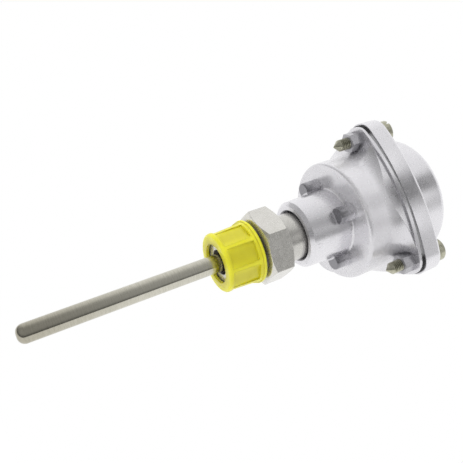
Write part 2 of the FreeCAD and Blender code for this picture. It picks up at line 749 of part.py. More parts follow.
# Cover: one casting with a lobed rim and a low round dome, hollow below
cover = new_body("cover")
rim = sketch_on(cover, "rim", "XY_Plane", cover_z)
lobed_outline(rim, "cover_half_width", "cover_lobe_radius")
rim_pad = pad(cover, rim, "rim_height")
rim_pad.setExpression("TaperAngle", bind("0 - rim_draft"))
doc.recompute()
rim_edge_z = number(rim_z)
round_edges(cover, "rim_round", lambda edge: all(
    math.isclose(vertex.Z, rim_edge_z, abs_tol=NEAR) for vertex in edge.Vertexes
))
crown_z = f"({dome_z} - dome_crown_radius)"
crown_reach = "(dome_crown_radius - dome_round)"
round_x = f"({dome_r} - dome_round)"
round_rise = f"sqrt({crown_reach} * {crown_reach} - {round_x} * {round_x})"
dome_foot_z = f"({rim_z} - dome_foot_depth)"
turn_solid(cover, "dome", [
    ("0", dome_foot_z),
    (dome_r, dome_foot_z),
    (dome_r, f"{crown_z} + {round_rise}"),
    (
        f"dome_crown_radius * {round_x} / {crown_reach}",
        f"{crown_z} + dome_crown_radius * {round_rise} / {crown_reach}",
        "dome_round",
        1,
    ),
    ("0", dome_z, "dome_crown_radius", 1),
])
cavity_top_z = f"({dome_z} - cover_wall)"
turn_cut(cover, "cavity", [
    ("0", cover_z),
    (cover_cavity_r, cover_z),
    (cover_cavity_r, f"{cavity_top_z} - cover_cavity_round"),
    (f"{cover_cavity_r} - cover_cavity_round", cavity_top_z, "cover_cavity_round", 1),
    ("0", cavity_top_z),
])
cover_hole = sketch_on(cover, "bolt_hole", "XY_Plane", rim_z)
circle(cover_hole, bolt_x, "0", bolt_way_r)
cover_pocket = pocket(cover, cover_hole, "rim_height")
around(cover, [cover_pocket], "bolt_count")

# Three slotted cheese-head screws that hold the cover, with cone points
cover_screws = new_body("cover_screws")
head_seat_z = f"({rim_z} + washer_thickness)"
screw_tip_z = f"({boss_end_z} - screw_beyond_boss)"
screw_top_z = f"({head_seat_z} + screw_head_height)"
screw_head_r = "(screw_head_diameter / 2)"
screw_solid = turn_solid(cover_screws, "screw", [
    ("0", screw_tip_z),
    (screw_r, f"{screw_tip_z} + screw_cone"),
    (screw_r, head_seat_z),
    (screw_head_r, head_seat_z),
    (screw_head_r, screw_top_z),
    ("0", screw_top_z),
], bolt_x)
slot = sketch_on(cover_screws, "slot", "XY_Plane", screw_top_z)
rectangle(slot, bolt_x, "0", "screw_head_diameter + 2 * cut_margin", "slot_width", "screw_slot_turn")
slot_cut = pocket(cover_screws, slot, "slot_depth")
around(cover_screws, [screw_solid, slot_cut], "bolt_count")

# Plain washers under the cover screws
cover_screw_washers = new_body("cover_screw_washers")
washer = sketch_on(cover_screw_washers, "ring", "XY_Plane", rim_z)
circle(washer, bolt_x, "0", "washer_diameter / 2")
circle(washer, bolt_x, "0", bolt_way_r)
washer_pad = pad(cover_screw_washers, washer, "washer_thickness")
around(cover_screw_washers, [washer_pad], "bolt_count")

# Ceramic terminal block on two cast standoffs
terminal_block = new_body("terminal_block")
block = sketch_on(terminal_block, "plate", "XY_Plane", standoff_z)
block_r = f"({cavity_r} - block_end_gap)"
block_end_x = f"sqrt({block_r} * {block_r} - block_half_width * block_half_width)"
outline(block, [
    (block_end_x, "0 - block_half_width"),
    (block_end_x, "block_half_width", block_r, 1),
    (f"0 - {block_end_x}", "block_half_width"),
    (f"0 - {block_end_x}", "0 - block_half_width", block_r, 1),
])
circle(block, "0", "0", "block_centre_hole / 2")
pad(terminal_block, block, "block_thickness")
block_hole = sketch_on(terminal_block, "fixing_hole", "XY_Plane", block_top_z)
circle(block_hole, "post_circle_radius", "0", f"{small_screw_r} + screw_hole_clearance")
block_pocket = pocket(terminal_block, block_hole, "block_thickness")
around(terminal_block, [block_pocket], "block_fixing_count")
seat = sketch_on(terminal_block, "terminal_seat", "XY_Plane", block_top_z)
terminal_x = "(terminal_radius * cos(lead_turn))"
terminal_y = "(terminal_radius * sin(lead_turn))"
rectangle(
    seat,
    terminal_x,
    terminal_y,
    "terminal_length + 2 * seat_gap",
    "terminal_width + 2 * seat_gap",
    "lead_turn",
)
seat_pocket = pocket(terminal_block, seat, "terminal_recess")
around(terminal_block, [seat_pocket], "terminal_count")
turn_body(terminal_block, "block_turn")


def slotted_screw(body, axis_x, end_z, seat_z, shank_r, head_r, head_height, slot_turn):
    """Small slotted screw standing on a seat; returns the features to repeat."""
    top_z = f"({seat_z} + {head_height})"
    solid = turn_solid(body, "screw", [
        ("0", end_z),
        (shank_r, end_z),
        (shank_r, seat_z),
        (head_r, seat_z),
        (head_r, top_z),
        ("0", top_z),
    ], axis_x)
    slot_sketch = sketch_on(body, "slot", "XY_Plane", top_z)
    rectangle(slot_sketch, axis_x, "0", f"2 * {head_r} + 2 * cut_margin", "small_slot_width", slot_turn)
    return [solid, pocket(body, slot_sketch, "small_slot_depth")]


# Two screws that fix the terminal block
block_screws = new_body("block_screws")
small_head_r = "(small_head_diameter / 2)"
block_screw = slotted_screw(
    block_screws,
    "post_circle_radius",
    small_screw_end_z,
    block_top_z,
    small_screw_r,
    small_head_r,
    "small_head_height",
    "block_slot_turn",
)
around(block_screws, block_screw, "block_fixing_count")
turn_body(block_screws, "block_turn")

# Four brass terminals, each with a cross hole for the lead and a tapped hole for its clamp screw
terminal_screw_r = "(terminal_screw_diameter / 2)"
clamp_end_z = f"({wire_hole_z} + wire_hole_diameter / 2 + seat_gap)"
for place in range(int(number("terminal_count"))):
    terminal = new_body(f"terminal_{place + 1}")
    bar = sketch_on(terminal, "bar", "XY_Plane", terminal_z)
    rectangle(bar, "terminal_radius", "0", "terminal_length", "terminal_width")
    pad(terminal, bar, "terminal_height")
    cross_hole = sketch_on(terminal, "cross_hole", "YZ_Plane")
    circle(cross_hole, "0", wire_hole_z, "wire_hole_diameter / 2")
    pocket(terminal, cross_hole, "terminal_radius + terminal_length", outward=True)
    clamp_hole = sketch_on(terminal, "clamp_hole", "XY_Plane", terminal_top_z)
    circle(clamp_hole, "terminal_radius", "0", f"{terminal_screw_r} + screw_clearance")
    pocket(terminal, clamp_hole, "wire_hole_drop")
    turn_body(terminal, f"lead_turn + {place} * {FULL_TURN} / terminal_count")

# Four clamp screws in the terminals
terminal_screws = new_body("terminal_screws")
clamp_screw = slotted_screw(
    terminal_screws,
    "terminal_radius",
    clamp_end_z,
    terminal_top_z,
    terminal_screw_r,
    "(terminal_head_diameter / 2)",
    "terminal_head_height",
    "terminal_slot_turn",
)
around(terminal_screws, clamp_screw, "terminal_count")
turn_body(terminal_screws, "lead_turn")

# Earth screw on the floor of the head, with its washer
earth_seat_z = f"({floor_z} + earth_washer_thickness)"
earth_washer = new_body("earth_washer")
earth_ring = sketch_on(earth_washer, "ring", "XY_Plane", floor_z)
circle(earth_ring, "post_circle_radius", "0", "earth_washer_diameter / 2")
circle(earth_ring, "post_circle_radius", "0", f"{small_screw_r} + screw_hole_clearance")
pad(earth_washer, earth_ring, "earth_washer_thickness")
earth_screw = new_body("earth_screw")
slotted_screw(
    earth_screw,
    "post_circle_radius",
    small_screw_end_z,
    earth_seat_z,
    small_screw_r,
    small_head_r,
    "small_head_height",
    "earth_slot_turn",
)

# Last check of every object, then one file for each piece
doc.recompute()
for item in doc.Objects:
    if "Invalid" in item.State or "Error" in item.State:
        raise RuntimeError(f"{item.Name} did not build")
os.makedirs("parts", exist_ok=True)
for body in doc.Objects:
    if body.TypeId != "PartDesign::Body":
        continue
    if body.Shape.isNull() or not body.Shape.isValid():
        raise RuntimeError(f"{body.Label} has no sound shape")
    body.Shape.exportStep(f"parts/{body.Label}.step")
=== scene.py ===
import math
from collections import namedtuple

import bmesh
import bpy
from mathutils import Matrix, Vector


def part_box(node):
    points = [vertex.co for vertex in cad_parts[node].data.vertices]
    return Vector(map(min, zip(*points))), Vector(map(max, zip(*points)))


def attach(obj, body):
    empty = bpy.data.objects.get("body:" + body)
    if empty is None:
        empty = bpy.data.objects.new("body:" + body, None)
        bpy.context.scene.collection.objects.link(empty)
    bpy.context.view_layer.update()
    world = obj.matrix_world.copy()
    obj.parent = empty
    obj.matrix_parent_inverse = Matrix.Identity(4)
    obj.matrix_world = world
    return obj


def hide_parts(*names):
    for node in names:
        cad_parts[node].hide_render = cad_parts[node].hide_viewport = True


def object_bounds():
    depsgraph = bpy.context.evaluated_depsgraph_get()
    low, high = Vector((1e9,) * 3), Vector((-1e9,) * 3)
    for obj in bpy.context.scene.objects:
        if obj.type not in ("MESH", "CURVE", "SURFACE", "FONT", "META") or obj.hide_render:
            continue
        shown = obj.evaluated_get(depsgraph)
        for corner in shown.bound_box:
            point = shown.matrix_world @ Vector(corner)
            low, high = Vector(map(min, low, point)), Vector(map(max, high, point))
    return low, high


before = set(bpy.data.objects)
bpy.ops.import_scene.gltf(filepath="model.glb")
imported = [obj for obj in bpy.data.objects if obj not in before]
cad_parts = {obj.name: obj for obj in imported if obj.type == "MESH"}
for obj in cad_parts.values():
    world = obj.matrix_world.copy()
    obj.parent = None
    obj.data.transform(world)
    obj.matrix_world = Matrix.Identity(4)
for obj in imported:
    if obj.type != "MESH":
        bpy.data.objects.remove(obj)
cad_low, cad_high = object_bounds()
scene = bpy.context.scene
scene.view_settings.view_transform = "Standard"

# Camera
# It stands about 19 cm from the fitting, level with the probe's tip, and looks across and up
# towards the head. It is rolled so that the tube runs down to the left of the picture.
MM = 0.001
CAMERA_PLACE = Vector((173.61, 12.95, -79.19)) * MM
CAMERA_RIGHT = Vector((0.3269, 0.3673, 0.8707))
CAMERA_UP = Vector((0.2407, -0.9234, 0.2991))
CAMERA_BACK = Vector((0.9138, 0.1119, -0.3903))
FOCAL_LENGTH_PIXELS = 572.1
PICTURE_SIDE_PIXELS = 463
SENSOR_WIDTH_MM = 36.0
NEAREST_SEEN = 5.0 * MM

camera_data = bpy.data.cameras.new("camera")
camera_data.sensor_width = SENSOR_WIDTH_MM
camera_data.lens = FOCAL_LENGTH_PIXELS / PICTURE_SIDE_PIXELS * SENSOR_WIDTH_MM
camera_data.clip_start = NEAREST_SEEN
camera = bpy.data.objects.new("camera", camera_data)
scene.collection.objects.link(camera)
camera_turn = Matrix((CAMERA_RIGHT, CAMERA_UP, CAMERA_BACK)).transposed().to_4x4()
camera.matrix_world = Matrix.Translation(CAMERA_PLACE) @ camera_turn
scene.camera = camera

# Studio room
# Its greys are those round a probe that lies on a white table. The metal shows the table below,
# a dim room on the camera's side with a dark edge behind the table, and a pale wall behind.
# Each row of stops runs from a direction's opposite, at 0, to the direction itself, at 1.
TABLE_UP = Vector((0.742, -0.670, 0.004)).normalized()
WALL_SIDE = (CAMERA_RIGHT * 0.407 - CAMERA_BACK * 0.914).normalized()
DARK_CORNER = (CAMERA_RIGHT * 0.787 + CAMERA_UP * 0.454 + CAMERA_BACK * 0.418).normalized()
TABLE_STOPS = ((0.0, 1.0), (0.482, 0.98), (0.505, 0.0), (1.0, 0.0))
EDGE_STOPS = ((0.0, 0.22), (0.51, 0.22), (0.60, 0.45), (0.72, 0.85), (0.85, 1.0), (1.0, 1.0))
WALL_STOPS = ((0.0, 0.0), (0.50, 0.0), (0.62, 1.0), (1.0, 1.0))
SIDE_STOPS = (
    (0.0, 0.42), (0.225, 0.38), (0.27, 0.42), (0.35, 0.54), (0.425, 0.72),
    (0.50, 0.82), (0.60, 0.92), (0.80, 0.98), (1.0, 1.08),
)
CORNER_STOPS = ((0.0, 1.0), (0.975, 1.0), (0.99, 0.45), (1.0, 0.30))
WHITE = (1.0, 1.0, 1.0, 1.0)

world = bpy.data.worlds.new("studio_room")
scene.world = world
world.use_nodes = True
room = world.node_tree
room.nodes.clear()
direction = room.nodes.new("ShaderNodeTexCoord").outputs["Generated"]


def add_node(tree, kind, **switches):
    """Add a shader node and set its switches, such as its operation."""
    node = tree.nodes.new(kind)
    for switch, value in switches.items():
        setattr(node, switch, value)
    return node


def work_out(tree, operation, first, second=None):
    """One number from one or two others. The second may be a plain number."""
    node = add_node(tree, "ShaderNodeMath", operation=operation)
    tree.links.new(first, node.inputs[0])
    if isinstance(second, float):
        node.inputs[1].default_value = second
    elif second is not None:
        tree.links.new(second, node.inputs[1])
    return node.outputs["Value"]


def spread_range(tree, value, start, end, low, high):
    """Spread a value that runs from start to end over the range from low to high."""
    node = add_node(tree, "ShaderNodeMapRange")
    node.inputs["From Min"].default_value = start
    node.inputs["From Max"].default_value = end
    node.inputs["To Min"].default_value = low
    node.inputs["To Max"].default_value = high
    tree.links.new(value, node.inputs["Value"])
    return node.outputs["Result"]


def room_tone(towards, stops):
    """Grey that depends on how far a direction leans towards another one."""
    lean = add_node(room, "ShaderNodeVectorMath", operation="DOT_PRODUCT")
    lean.inputs[1].default_value = towards
    room.links.new(direction, lean.inputs[0])
    tones = add_node(room, "ShaderNodeValToRGB")
    while len(tones.color_ramp.elements) < len(stops):
        tones.color_ramp.elements.new(0.5)
    for stop, (place, tone) in zip(tones.color_ramp.elements, stops):
        stop.position = place
        stop.color = (tone, tone, tone, 1.0)
    share = spread_range(room, lean.outputs["Value"], start=-1.0, end=1.0, low=0.0, high=1.0)
    room.links.new(share, tones.inputs["Fac"])
    return tones.outputs["Color"]


def whitened(tone, share):
    """A grey of the room, brought up to white by a share."""
    mix = add_node(room, "ShaderNodeMix", data_type="FLOAT")
    mix.inputs["B"].default_value = 1.0
    room.links.new(share, mix.inputs["Factor"])
    room.links.new(tone, mix.inputs["A"])
    return mix.outputs["Result"]


walls = work_out(
    room, "MULTIPLY", room_tone(WALL_SIDE, SIDE_STOPS), room_tone(DARK_CORNER, CORNER_STOPS)
)
dark_edge = whitened(room_tone(TABLE_UP, EDGE_STOPS), room_tone(WALL_SIDE, WALL_STOPS))
above_table = work_out(room, "MULTIPLY", walls, dark_edge)
room_light = add_node(room, "ShaderNodeBackground")
room.links.new(whitened(above_table, room_tone(TABLE_UP, TABLE_STOPS)), room_light.inputs["Color"])
backdrop = add_node(room, "ShaderNodeBackground")
backdrop.inputs["Color"].default_value = WHITE
seen_by = add_node(room, "ShaderNodeLightPath")
camera_sees_backdrop = add_node(room, "ShaderNodeMixShader")
room.links.new(seen_by.outputs["Is Camera Ray"], camera_sees_backdrop.inputs["Fac"])
room.links.new(room_light.outputs["Background"], camera_sees_backdrop.inputs[1])
room.links.new(backdrop.outputs["Background"], camera_sees_backdrop.inputs[2])
room_output = add_node(room, "ShaderNodeOutputWorld")
room.links.new(camera_sees_backdrop.outputs["Shader"], room_output.inputs["Surface"])

# Soft box
# One wide soft lamp hangs over the table, a little towards the wall. It lights the lacquer and
# the plastic, and it isn't mirrored in the metal.
SOFT_BOX_SIDE = 0.7
SOFT_BOX_WATTS = 2.5
SOFT_BOX_DISTANCE = 0.9
SOFT_BOX_LEAN = 0.5

soft_box_data = bpy.data.lights.new("overhead_soft_box", "AREA")
soft_box_data.shape = "SQUARE"
soft_box_data.size = SOFT_BOX_SIDE
soft_box_data.energy = SOFT_BOX_WATTS
soft_box = bpy.data.objects.new("overhead_soft_box", soft_box_data)
scene.collection.objects.link(soft_box)
soft_box_towards = (TABLE_UP + SOFT_BOX_LEAN * WALL_SIDE).normalized()
soft_box.location = soft_box_towards * SOFT_BOX_DISTANCE
soft_box.rotation_euler = soft_box_towards.to_track_quat("Z", "Y").to_euler()
soft_box.visible_glossy = False

# Reflection card
# A small card stands off the cover, dark in the middle and white at its ends. It shows only
# as a reflection: it throws no shadow, and the camera doesn't see it.
CARD_MIDDLE = Vector((67.0, -3.0, 87.0)) * MM
CARD_TOWARDS = Vector((-0.757, 0.0, -0.65)).normalized()
CARD_ACROSS = Vector((0.0, 1.0, 0.0))
CARD_WIDTH = 70.0 * MM
CARD_HEIGHT = 19.0 * MM
CARD_DARK_HALF = 9.5 * MM
CARD_PALE_FROM = 17.0 * MM
CARD_DARK = 0.02
CARD_PALE = 1.0


def flat_sheet(name, middle, half_across, half_along):
    """A sheet with four corners that belongs to the studio."""
    mesh = bpy.data.meshes.new(name)
    corners = [
        middle + half_across * across + half_along * along
        for across, along in ((-1, -1), (1, -1), (1, 1), (-1, 1))
    ]
    mesh.from_pydata(corners, [], [(0, 1, 2, 3)])
    sheet = bpy.data.objects.new(name, mesh)
    scene.collection.objects.link(sheet)
    return sheet


def paint_sheet(sheet, name):
    """Give a sheet a material with no nodes yet, and return its node tree."""
    paint = bpy.data.materials.new(name)
    paint.use_nodes = True
    paint.node_tree.nodes.clear()
    sheet.data.materials.append(paint)
    return paint.node_tree


card_along = CARD_TOWARDS.cross(CARD_ACROSS).normalized()
card = flat_sheet(
    "reflection_card", CARD_MIDDLE, CARD_ACROSS * CARD_WIDTH / 2, card_along * CARD_HEIGHT / 2
)
card.visible_camera = False
card.visible_diffuse = False
card.visible_shadow = False
card_paint = paint_sheet(card, "card_dark_middle")
card_place = add_node(card_paint, "ShaderNodeTexCoord")
card_parts = add_node(card_paint, "ShaderNodeSeparateXYZ")
card_paint.links.new(card_place.outputs["Object"], card_parts.inputs["Vector"])
card_offset = work_out(card_paint, "SUBTRACT", card_parts.outputs["Y"], CARD_MIDDLE.y)
card_tone = spread_range(
    card_paint,
    work_out(card_paint, "ABSOLUTE", card_offset),
    start=CARD_DARK_HALF,
    end=CARD_PALE_FROM,
    low=CARD_DARK,
    high=CARD_PALE,
)
card_glow = add_node(card_paint, "ShaderNodeEmission")
card_paint.links.new(card_tone, card_glow.inputs["Strength"])
card_output = add_node(card_paint, "ShaderNodeOutputMaterial")
card_paint.links.new(card_glow.outputs["Emission"], card_output.inputs["Surface"])

# Floor
# A plain pale floor lies so far below the tip that the yellow cap can be pulled off above it.
# It takes the shadow, and glows a little for the camera so that it meets the white behind.
FLOOR_BELOW_TIP = 170.0 * MM
FLOOR_HALF_SIDE = 3.0
FLOOR_WHITE = (0.95, 0.95, 0.95, 1.0)
FLOOR_GLOW = 0.5

floor = flat_sheet(
    "floor",
    Vector((0.0, 0.0, cad_low.z - FLOOR_BELOW_TIP)),
    Vector((FLOOR_HALF_SIDE, 0.0, 0.0)),
    Vector((0.0, FLOOR_HALF_SIDE, 0.0)),
)
floor.visible_glossy = False
floor_paint = paint_sheet(floor, "floor_white")
floor_matte = add_node(floor_paint, "ShaderNodeBsdfDiffuse")
floor_matte.inputs["Color"].default_value = FLOOR_WHITE
floor_seen_by = add_node(floor_paint, "ShaderNodeLightPath")
floor_glow = add_node(floor_paint, "ShaderNodeEmission")
floor_paint.links.new(
    work_out(floor_paint, "MULTIPLY", floor_seen_by.outputs["Is Camera Ray"], FLOOR_GLOW),
    floor_glow.inputs["Strength"],
)
floor_sum = add_node(floor_paint, "ShaderNodeAddShader")
floor_paint.links.new(floor_matte.outputs["BSDF"], floor_sum.inputs[0])
floor_paint.links.new(floor_glow.outputs["Emission"], floor_sum.inputs[1])
floor_output = add_node(floor_paint, "ShaderNodeOutputMaterial")
floor_paint.links.new(floor_sum.outputs["Shader"], floor_output.inputs["Surface"])

# Protection tube
# A drawn stainless tube, closed at the tip with a rounded end and centreless ground, so its
# surface carries very fine rings. It is brazed into the bore of the fitting.
TUBE_MIDDLE = -40.0 * MM
TUBE_RING_DEPTH = 0.004 * MM
FINE_RINGS = 2600.0
PROBE_AXIS = (0.0, 0.0)
NOISE_LOW = 0.3
NOISE_HIGH = 0.7
QUARTER_TURN = 0.25
OPENNESS_SAMPLES = 8
EDGE_SAMPLES = 6


class Finish:
    """One material's nodes, with the few building steps that the finishes share."""

    def __init__(self, name, metallic, colour=None, roughness=None):
        self.material = bpy.data.materials.new(name)
        self.material.use_nodes = True
        self.tree = self.material.node_tree
        self.surface = self.tree.nodes["Principled BSDF"]
        self.place = add_node(self.tree, "ShaderNodeTexCoord").outputs["Object"]
        self.normal = None
        self.set_plain("Metallic", metallic)
        if colour is not None:
            self.set_plain("Base Color", colour)
        if roughness is not None:
            self.set_plain("Roughness", roughness)

    def set_plain(self, socket_name, value):
        """Set one of the surface's own values, the same all over."""
        self.surface.inputs[socket_name].default_value = value

    def link(self, source, socket_name):
        """Let a node's output drive one of the surface's values."""
        self.tree.links.new(source, self.surface.inputs[socket_name])

    def grain(self, scale, stretch=(1.0, 1.0, 1.0), detail=3.0):
        """Noise in the piece's own space, finer along the axes with a larger stretch."""
        mapping = add_node(self.tree, "ShaderNodeMapping")
        mapping.inputs["Scale"].default_value = stretch
        self.tree.links.new(self.place, mapping.inputs["Vector"])
        noise = add_node(self.tree, "ShaderNodeTexNoise")
        noise.inputs["Scale"].default_value = scale
        noise.inputs["Detail"].default_value = detail
        self.tree.links.new(mapping.outputs["Vector"], noise.inputs["Vector"])
        return noise.outputs["Fac"]

    def spread(self, value, low, high, start=NOISE_LOW, end=NOISE_HIGH):
        """Spread a value over the range from low to high. Noise needs no start and end."""
        return spread_range(self.tree, value, start, end, low, high)

    def vary_roughness(self, value, low, high):
        """Let the roughness follow a value."""
        self.link(self.spread(value, low, high), "Roughness")

    def vary_colour(self, value, dark, light):
        """Let the colour follow a value, from dark to light."""
        mix = add_node(self.tree, "ShaderNodeMix", data_type="RGBA")
        mix.inputs["A"].default_value = dark
        mix.inputs["B"].default_value = light
        self.tree.links.new(self.spread(value, 0.0, 1.0), mix.inputs["Factor"])
        self.link(mix.outputs["Result"], "Base Color")

    def shade_colour(self, value, shade, start=0.0, end=1.0):
        """Multiply the colour so far by a shade: fully at start, and not at all at end."""
        colour = self.surface.inputs["Base Color"]
        tint = add_node(self.tree, "ShaderNodeMix", data_type="RGBA", blend_type="MULTIPLY")
        tint.inputs["B"].default_value = shade
        if colour.is_linked:
            self.tree.links.new(colour.links[0].from_socket, tint.inputs["A"])
        else:
            tint.inputs["A"].default_value = colour.default_value
        self.tree.links.new(self.spread(value, 1.0, 0.0, start, end), tint.inputs["Factor"])
        self.link(tint.outputs["Result"], "Base Color")

    def low_in_both(self, first, second):
        """A value that is low, and lets a shade through, only where both of two are low."""
        return work_out(self.tree, "MAXIMUM", first, second)

    def height(self):
        """Height above the sealing face, in metres."""
        parts = add_node(self.tree, "ShaderNodeSeparateXYZ")
        self.tree.links.new(self.place, parts.inputs["Vector"])
        return parts.outputs["Z"]

    def reach_from(self, axes):
        """Distance from the nearest of some upright axes, in metres."""
        flat_place = add_node(self.tree, "ShaderNodeVectorMath", operation="MULTIPLY")
        flat_place.inputs[1].default_value = (1.0, 1.0, 0.0)
        self.tree.links.new(self.place, flat_place.inputs[0])
        nearest = None
        for x, y in axes:
            reach = add_node(self.tree, "ShaderNodeVectorMath", operation="DISTANCE")
            reach.inputs[1].default_value = (x, y, 0.0)
            self.tree.links.new(flat_place.outputs["Vector"], reach.inputs[0])
            if nearest is None:
                nearest = reach.outputs["Value"]
            else:
                nearest = work_out(self.tree, "MINIMUM", nearest, reach.outputs["Value"])
        return nearest

    def openness(self, distance, through_wall=False):
        """1 in the open, and 0 where other surfaces, or the wall's far side, lie close."""
        near = add_node(
            self.tree,
            "ShaderNodeAmbientOcclusion",
            samples=OPENNESS_SAMPLES,
            inside=through_wall,
            only_local=through_wall,
        )
        near.inputs["Distance"].default_value = distance
        return near.outputs["AO"]

    def thread_cut(self):
        """How deep a place lies in a cut thread, from 0 on the crest to 1."""
        return add_node(
            self.tree, "ShaderNodeAttribute", attribute_name="in_valley"
        ).outputs["Fac"]

    def brush_along_axis(self, amount):
        """Blur reflections along Z only, as fine rings round the piece do."""
        around = add_node(self.tree, "ShaderNodeTangent", direction_type="RADIAL", axis="Z")
        self.link(around.outputs["Tangent"], "Tangent")
        self.set_plain("Anisotropic", amount)
        self.set_plain("Anisotropic Rotation", QUARTER_TURN)

    def soften_edges(self, radius):
        """Round the shading of sharp edges, as a broken edge looks."""
        edge = add_node(self.tree, "ShaderNodeBevel", samples=EDGE_SAMPLES)
        edge.inputs["Radius"].default_value = radius
        self.normal = edge.outputs["Normal"]
        self.link(self.normal, "Normal")

    def relief(self, value, depth, strength=1.0):
        """Raise the surface by a value times a depth in metres."""
        bump = add_node(self.tree, "ShaderNodeBump")
        bump.inputs["Distance"].default_value = depth
        bump.inputs["Strength"].default_value = strength
        self.tree.links.new(value, bump.inputs["Height"])
        if self.normal:
            self.tree.links.new(self.normal, bump.inputs["Normal"])
        self.normal = bump.outputs["Normal"]
        self.link(self.normal, "Normal")


def dress(node_name, finish):
    """Give a CAD node one finish."""
    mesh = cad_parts[node_name].data
    mesh.materials.clear()
    mesh.materials.append(finish.material)


tube_steel = Finish("ground_tube_steel", metallic=1.0)
grinding_rings = tube_steel.grain(1.0, stretch=(40.0, 40.0, FINE_RINGS), detail=4.0)
tube_steel.vary_roughness(grinding_rings, low=0.12, high=0.20)
tube_steel.brush_along_axis(0.75)
tube_steel.vary_colour(
    tube_steel.grain(1.0, stretch=(320.0, 320.0, FINE_RINGS), detail=2.0),
    dark=(0.56, 0.545, 0.465, 1.0),
    light=(0.65, 0.63, 0.55, 1.0),
)
# Painted shade: the tube's colour darkens from its middle towards its tip.
tube_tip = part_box("sheath_tube")[0].z
tube_steel.shade_colour(
    tube_steel.height(), shade=(0.74, 0.72, 0.68, 1.0), start=tube_tip, end=TUBE_MIDDLE
)
tube_steel.relief(grinding_rings, TUBE_RING_DEPTH, strength=0.5)
dress("sheath_tube", tube_steel)

# Measuring element
# A platinum winding fired into a white ceramic rod. It sits in the closed tip of the tube,
# where the probe measures, and its four leads start there.
element_ceramic = Finish("element_ceramic", metallic=0.0, roughness=0.45)
element_ceramic.vary_colour(
    element_ceramic.grain(1500.0),
    dark=(0.80, 0.79, 0.75, 1.0),
    light=(0.90, 0.89, 0.87, 1.0),
)
dress("rtd_element", element_ceramic)

# Oxide packing
# Dry magnesium oxide powder, tamped into the tube round the element and the leads, so that
# they can't shake and heat gets through.
POWDER_GRAIN_DEPTH = 0.05 * MM
OXIDE_CREAM = (0.82, 0.81, 0.77, 1.0)
oxide_powder = Finish("oxide_powder", metallic=0.0, colour=OXIDE_CREAM, roughness=0.9)
oxide_powder.relief(oxide_powder.grain(6000.0), POWDER_GRAIN_DEPTH)
dress("mineral_fill", oxide_powder)

# Leads
# Four thin insulated wires, two red and two white, run up the tube and turn out to the
# terminals. The insulation is extruded, with a slight lengthwise grain.
LEAD_RED = (0.52, 0.03, 0.025, 1.0)
LEAD_WHITE = (0.80, 0.79, 0.76, 1.0)
LEAD_COLOURS = {
    "lead_red_1": LEAD_RED,
    "lead_red_2": LEAD_RED,
    "lead_white_1": LEAD_WHITE,
    "lead_white_2": LEAD_WHITE,
}
LEAD_GRAIN_DEPTH = 0.02 * MM
LENGTHWISE = (1.0, 1.0, 0.1)
for lead_name, lead_colour in LEAD_COLOURS.items():
    insulation = Finish(f"{lead_name}_insulation", metallic=0.0, colour=lead_colour)
    insulation.vary_roughness(insulation.grain(4000.0, stretch=LENGTHWISE), low=0.36, high=0.5)
    insulation.relief(insulation.grain(5000.0, stretch=LENGTHWISE), LEAD_GRAIN_DEPTH, strength=0.4)
    dress(lead_name, insulation)

# Process fitting
# Turned from stainless hexagon bar: process thread below, wrench faces, and the nipple that
# screws into the head. Its thread is cut here. Painted shade darkens the steel in the thread's
# valleys and where other pieces stand close to it.
THREAD_BOTTOM = -12.2 * MM
THREAD_TOP = -1.8 * MM
HEX_LOW = 1.0 * MM
HEX_MIDDLE = 3.0 * MM
TURNING_LINE_DEPTH = 0.005 * MM
CREST_SHARE = 0.14
FLANK_SHARE = 0.76
RING_STEPS = 72
RINGS_PER_PITCH = 10
SAME_PLACE = 0.02 * MM
WELD_DISTANCE = 0.0005 * MM
UPRIGHT_FACE = 0.5
SHARP_EDGE = math.radians(32.0)

# radius, bottom and top are those of the plain cylinder, and the cut runs between cut_from
# and cut_to, fading in and out over run_out.
Thread = namedtuple("Thread", "radius bottom top cut_from cut_to pitch depth run_out")
process_thread = Thread(
    radius=8.3 * MM,
    bottom=THREAD_BOTTOM,
    top=THREAD_TOP,
    cut_from=THREAD_BOTTOM,
    cut_to=THREAD_TOP,
    pitch=1.337 * MM,
    depth=0.82 * MM,
    run_out=0.7 * MM,
)


def cut_share(thread, turn_share, z):
    """Share of the full depth at a place on a right-hand thread with slightly flat crests."""
    fade = min((z - thread.cut_from) / thread.run_out, (thread.cut_to - z) / thread.run_out, 1.0)
    phase = (z / thread.pitch - turn_share) % 1.0
    valley = 1.0 - abs(2.0 * phase - 1.0)
    return max(fade, 0.0) * min(max((valley - CREST_SHARE) / FLANK_SHARE, 0.0), 1.0)


def ring_heights(thread):
    """Heights of the rings of points, from the bottom of the plain cylinder to its top."""
    length = thread.cut_to - thread.cut_from
    rows = math.ceil(length / thread.pitch * RINGS_PER_PITCH)
    heights = [thread.cut_from + length * row / rows for row in range(rows + 1)]
    if thread.bottom < thread.cut_from - SAME_PLACE:
        heights.insert(0, thread.bottom)
    if thread.top > thread.cut_to + SAME_PLACE:
        heights.append(thread.top)
    return heights


def remove_plain_cylinder(form, thread, axis):
    """Take out the plain faces about an axis that the thread's own faces replace."""

    def on_cylinder(point):
        reach = math.hypot(point.x - axis[0], point.y - axis[1])
        in_span = thread.bottom - SAME_PLACE < point.z < thread.top + SAME_PLACE
        return in_span and abs(reach - thread.radius) < SAME_PLACE

    plain = [
        face for face in form.faces
        if abs(face.normal.z) < UPRIGHT_FACE and all(on_cylinder(corner.co) for corner in face.verts)
    ]
    bmesh.ops.delete(form, geom=plain, context="FACES")


def add_ring(form, in_valley, thread, axis, z):
    """One ring of points about an axis, drawn in where the thread is cut."""
    ring = []
    for step in range(RING_STEPS):
        share = step / RING_STEPS
        cut = cut_share(thread, share, z)
        reach = thread.radius - thread.depth * cut
        turn = share * math.tau
        place = (axis[0] + reach * math.cos(turn), axis[1] + reach * math.sin(turn), z)
        point = form.verts.new(place)
        point[in_valley] = cut
        ring.append(point)
    return ring


